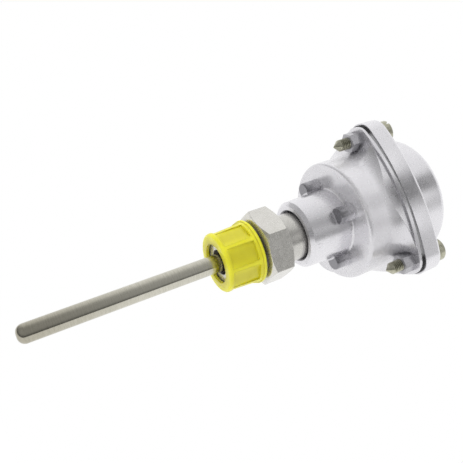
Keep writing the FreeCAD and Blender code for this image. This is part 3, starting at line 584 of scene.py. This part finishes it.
def threaded_copy(node_name, piece_name, thread, axes):
    """Copy a CAD node and cut a thread into its plain cylinders, one about each axis."""
    form = bmesh.new()
    form.from_mesh(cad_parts[node_name].data)
    bmesh.ops.remove_doubles(form, verts=form.verts, dist=WELD_DISTANCE)
    in_valley = form.verts.layers.float.new("in_valley")
    for axis in axes:
        remove_plain_cylinder(form, thread, axis)
        rings = [add_ring(form, in_valley, thread, axis, z) for z in ring_heights(thread)]
        for lower, upper in zip(rings, rings[1:]):
            for step in range(RING_STEPS):
                following = (step + 1) % RING_STEPS
                form.faces.new((lower[step], lower[following], upper[following], upper[step]))
    mesh = bpy.data.meshes.new(piece_name)
    form.to_mesh(mesh)
    form.free()
    # The copied normals don't fit the new faces.
    if "custom_normal" in mesh.attributes:
        mesh.attributes.remove(mesh.attributes["custom_normal"])
    mesh.update()
    mesh.shade_smooth()
    mesh.set_sharp_from_angle(angle=SHARP_EDGE)
    piece = bpy.data.objects.new(piece_name, mesh)
    scene.collection.objects.link(piece)
    return piece


fitting_steel = Finish("turned_fitting_steel", metallic=0.78)
fitting_steel.vary_roughness(fitting_steel.grain(900.0), low=0.20, high=0.30)
fitting_steel.vary_colour(
    fitting_steel.grain(300.0),
    dark=(0.70, 0.685, 0.645, 1.0),
    light=(0.76, 0.745, 0.705, 1.0),
)
fitting_height = fitting_steel.height()
# Painted shade where other pieces stand close: deep above the hexagon's foot, light below it.
fitting_openness = fitting_steel.openness(5.0 * MM)
painted_shade_above_hex_foot = fitting_steel.spread(fitting_height, 1.0, 0.0, start=HEX_LOW, end=HEX_MIDDLE)
painted_shade_below_hex_foot = fitting_steel.spread(fitting_height, 0.0, 1.0, start=HEX_LOW, end=HEX_MIDDLE)
fitting_steel.shade_colour(
    fitting_steel.low_in_both(
        fitting_steel.spread(fitting_openness, 0.0, 1.0, start=0.25, end=0.92), painted_shade_above_hex_foot
    ),
    shade=(0.15, 0.15, 0.17, 1.0),
)
fitting_steel.shade_colour(
    fitting_steel.low_in_both(
        fitting_steel.spread(fitting_openness, 0.0, 1.0, start=0.15, end=0.6), painted_shade_below_hex_foot
    ),
    shade=(0.58, 0.58, 0.62, 1.0),
)
# Painted shade deep in the valleys of the process thread.
fitting_steel.shade_colour(
    fitting_steel.thread_cut(), shade=(0.50, 0.50, 0.50, 1.0), start=0.9, end=0.25
)
fitting_steel.soften_edges(0.18 * MM)
fitting_steel.relief(
    fitting_steel.grain(1.0, stretch=(60.0, 60.0, 3200.0), detail=4.0),
    TURNING_LINE_DEPTH,
    strength=0.5,
)
fitting = threaded_copy("process_fitting", "threaded_fitting", process_thread, [PROBE_AXIS])
fitting.data.materials.append(fitting_steel.material)
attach(fitting, "probe")
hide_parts("process_fitting")

# Braze ring
# Silver braze, drawn into the joint between the tube and the fitting. It cooled with a faintly
# uneven, yellowish skin.
BRAZE_YELLOW = (0.70, 0.62, 0.45, 1.0)
braze = Finish("silver_braze", metallic=1.0, colour=BRAZE_YELLOW)
braze.vary_roughness(braze.grain(2500.0), low=0.3, high=0.5)
dress("braze_fillet", braze)

# Resin seal
# Dark brown resin, poured into the top of the fitting round the leads. It keeps damp out of
# the powder, and set with a shallow ripple.
RESIN_BROWN = (0.045, 0.03, 0.02, 1.0)
RESIN_RIPPLE_DEPTH = 0.1 * MM
potting_resin = Finish("potting_resin", metallic=0.0, colour=RESIN_BROWN, roughness=0.25)
potting_resin.relief(potting_resin.grain(400.0), RESIN_RIPPLE_DEPTH, strength=0.4)
dress("potting_seal", potting_resin)

# Thread cap
# A push-on cap moulded in soft yellow polyethylene, with eight thin panels between ribs. The
# plastic lets a little light through and has a lightly uneven skin. Painted shade darkens it
# where the wall is thin.
CAP_SKIN_DEPTH = 0.03 * MM
cap_plastic = Finish("cap_plastic", metallic=0.0, roughness=0.30)
cap_plastic.set_plain("Subsurface Weight", 0.45)
cap_plastic.set_plain("Subsurface Radius", (1.0, 0.9, 0.2))
cap_plastic.set_plain("Subsurface Scale", 1.5 * MM)
cap_plastic.vary_colour(
    cap_plastic.grain(220.0),
    dark=(0.92, 0.87, 0.025, 1.0),
    light=(0.97, 0.93, 0.04, 1.0),
)
# Painted shade: the thin panels between the ribs are darkened.
cap_plastic.shade_colour(
    cap_plastic.openness(2.4 * MM, through_wall=True),
    shade=(0.66, 0.62, 0.8, 1.0),
    start=0.15,
    end=0.6,
)
cap_plastic.soften_edges(0.25 * MM)
cap_plastic.relief(cap_plastic.grain(700.0), CAP_SKIN_DEPTH, strength=0.4)
dress("thread_cap", cap_plastic)

# Head casting
# Pressure-cast aluminium with a thin silver lacquer: neck, drum, flared flange, posts and
# bosses are one piece. The drum's wall is the whitest, and painted shade darkens the posts
# and the bosses. Handling has left small scuffs.
CAST_METALLIC = 0.85
DRUM_METALLIC = 0.22
# Heights between which the lacquer's look passes from neck to drum, and from drum to flare.
DRUM_FROM = 31.0 * MM
DRUM_FULL = 34.0 * MM
FLARE_FROM = 40.0 * MM
FLARE_FULL = 45.0 * MM
POST_END = 27.0 * MM
POST_FOOT = 31.8 * MM
NECK_REACH = 12.4 * MM
POST_REACH = 12.7 * MM
BOLT_CIRCLE_RADIUS = 26.1 * MM
BOLT_TURNS = (math.pi, math.pi / 3, -math.pi / 3)
BOSS_RADIUS = 3.6 * MM
BOSS_RADIUS_CLEAR = 3.8 * MM
BOSS_FOOT = 46.4 * MM
FLANGE_UNDERSIDE = 46.7 * MM
CAST_SKIN_DEPTH = 0.006 * MM


def casting_finish(name):
    """Silver-lacquered casting with soft mottling, painted corner shade, small scuffs and a fine
    skin.
    """
    casting = Finish(name, metallic=CAST_METALLIC)
    casting.vary_roughness(casting.grain(320.0), low=0.24, high=0.30)
    casting.vary_colour(
        casting.grain(90.0), dark=(0.80, 0.79, 0.82, 1.0), light=(0.84, 0.83, 0.855, 1.0)
    )
    # Painted shade where other surfaces lie close.
    casting.shade_colour(
        casting.openness(2.2 * MM), shade=(0.55, 0.55, 0.56, 1.0), start=0.15, end=0.8
    )
    scuffs = casting.grain(1000.0, stretch=(1.0, 1.0, 0.3), detail=1.0)
    casting.shade_colour(scuffs, shade=(0.70, 0.70, 0.70, 1.0), start=0.21, end=0.27)
    casting.soften_edges(0.12 * MM)
    casting.relief(casting.grain(700.0), CAST_SKIN_DEPTH, strength=0.2)
    return casting


bolt_axes = [
    (BOLT_CIRCLE_RADIUS * math.cos(turn), BOLT_CIRCLE_RADIUS * math.sin(turn))
    for turn in BOLT_TURNS
]
head_silver = casting_finish("lacquered_head_casting")
head_height = head_silver.height()
neck_to_drum = head_silver.spread(
    head_height, CAST_METALLIC, DRUM_METALLIC, start=DRUM_FROM, end=DRUM_FULL
)
drum_to_flare = head_silver.spread(
    head_height, DRUM_METALLIC, CAST_METALLIC, start=FLARE_FROM, end=FLARE_FULL
)
head_silver.link(head_silver.low_in_both(neck_to_drum, drum_to_flare), "Metallic")
# Painted shade on the posts, strongest at their ends, for the dark reflections and shade there.
painted_post_shade = head_silver.spread(head_height, 0.0, 0.9, start=POST_END, end=POST_FOOT)
outside_neck = head_silver.spread(
    head_silver.reach_from([PROBE_AXIS]), 1.0, 0.0, start=NECK_REACH, end=POST_REACH
)
head_silver.shade_colour(
    head_silver.low_in_both(painted_post_shade, outside_neck), shade=(0.34, 0.34, 0.35, 1.0)
)
# Painted shade on the bosses under the flange.
painted_boss_shade_height = head_silver.spread(head_height, 0.0, 1.0, start=BOSS_FOOT, end=FLANGE_UNDERSIDE)
painted_boss_shade_reach = head_silver.spread(
    head_silver.reach_from(bolt_axes), 0.0, 1.0, start=BOSS_RADIUS, end=BOSS_RADIUS_CLEAR
)
head_silver.shade_colour(
    head_silver.low_in_both(painted_boss_shade_height, painted_boss_shade_reach), shade=(0.60, 0.60, 0.61, 1.0)
)
dress("head_casting", head_silver)

# Terminal block
# A block pressed from unglazed ceramic, which stands on two standoffs inside the drum. It
# carries the four terminals and keeps them apart from the casting.
BLOCK_GRAIN_DEPTH = 0.03 * MM
block_ceramic = Finish("block_ceramic", metallic=0.0, roughness=0.55)
block_ceramic.vary_colour(
    block_ceramic.grain(500.0),
    dark=(0.74, 0.71, 0.63, 1.0),
    light=(0.84, 0.82, 0.76, 1.0),
)
block_ceramic.relief(block_ceramic.grain(3000.0), BLOCK_GRAIN_DEPTH)
dress("terminal_block", block_ceramic)

# Terminals, earth screw and earth washer
# Machined from brass and left bare. The terminals sit in the block, and the earth screw holds
# its washer on the floor of the head casting.
BRASS_YELLOW = (0.72, 0.55, 0.24, 1.0)
BRASS_NODES = ("terminal_1", "terminal_2", "terminal_3", "terminal_4", "earth_washer", "earth_screw")
brass = Finish("machined_brass", metallic=1.0, colour=BRASS_YELLOW)
brass.vary_roughness(brass.grain(1500.0), low=0.22, high=0.38)
brass.soften_edges(0.1 * MM)
for brass_node in BRASS_NODES:
    dress(brass_node, brass)

# Block screws and terminal screws
# Small steel screws that fix the block and clamp the leads. They are plated with zinc and
# have a pale yellow-green passivation.
screw_zinc = Finish("passivated_zinc", metallic=1.0)
screw_zinc.vary_roughness(screw_zinc.grain(1500.0), low=0.22, high=0.42)
screw_zinc.vary_colour(
    screw_zinc.grain(700.0),
    dark=(0.42, 0.41, 0.31, 1.0),
    light=(0.58, 0.57, 0.46, 1.0),
)
dress("block_screws", screw_zinc)
dress("terminal_screws", screw_zinc)

# Gasket
# Punched from rubber sheet to the outline of the flange, so its cut edge shows as a thin matt
# line between the two castings: grey along the sides, and black at the tips of the lobes.
GASKET_TIP_FROM = 28.4 * MM
GASKET_TIP_FULL = 29.4 * MM
GASKET_GRAIN_DEPTH = 0.04 * MM
GASKET_GREY = (0.36, 0.36, 0.365, 1.0)
gasket_rubber = Finish("gasket_rubber", metallic=0.0, colour=GASKET_GREY)
gasket_rubber.shade_colour(
    gasket_rubber.reach_from([PROBE_AXIS]),
    shade=(0.05, 0.05, 0.05, 1.0),
    start=GASKET_TIP_FULL,
    end=GASKET_TIP_FROM,
)
gasket_rubber.vary_roughness(gasket_rubber.grain(1800.0), low=0.5, high=0.75)
gasket_rubber.relief(gasket_rubber.grain(2500.0), GASKET_GRAIN_DEPTH)
dress("head_gasket", gasket_rubber)

# Cover
# A second casting in the same lacquered aluminium, with a lobed rim and a round dome. The
# three cover screws pass through its lobes.
dress("cover", casting_finish("lacquered_cover_casting"))

# Cover screws and washers
# Slotted screws and plain washers in the same plated steel as the small screws. The screws run
# through threaded holes in the bosses of the head, and their cone points stand out below.
SCREW_HEAD_SEAT = 56.9 * MM
SCREW_CONE = 2.4 * MM
SCREW_THREAD_END = 11.0 * MM
screw_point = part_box("cover_screws")[0].z
cover_screw_thread = Thread(
    radius=2.0 * MM,
    bottom=screw_point + SCREW_CONE,
    top=SCREW_HEAD_SEAT,
    cut_from=screw_point + SCREW_CONE,
    cut_to=screw_point + SCREW_THREAD_END,
    pitch=0.7 * MM,
    depth=0.42 * MM,
    run_out=0.5 * MM,
)
# Painted shade deep in the valleys of the cover screws' thread.
screw_zinc.shade_colour(
    screw_zinc.thread_cut(), shade=(0.10, 0.10, 0.08, 1.0), start=0.9, end=0.25
)
screws = threaded_copy("cover_screws", "threaded_cover_screws", cover_screw_thread, bolt_axes)
screws.data.materials.append(screw_zinc.material)
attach(screws, "probe")
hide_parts("cover_screws")
dress("cover_screw_washers", screw_zinc)
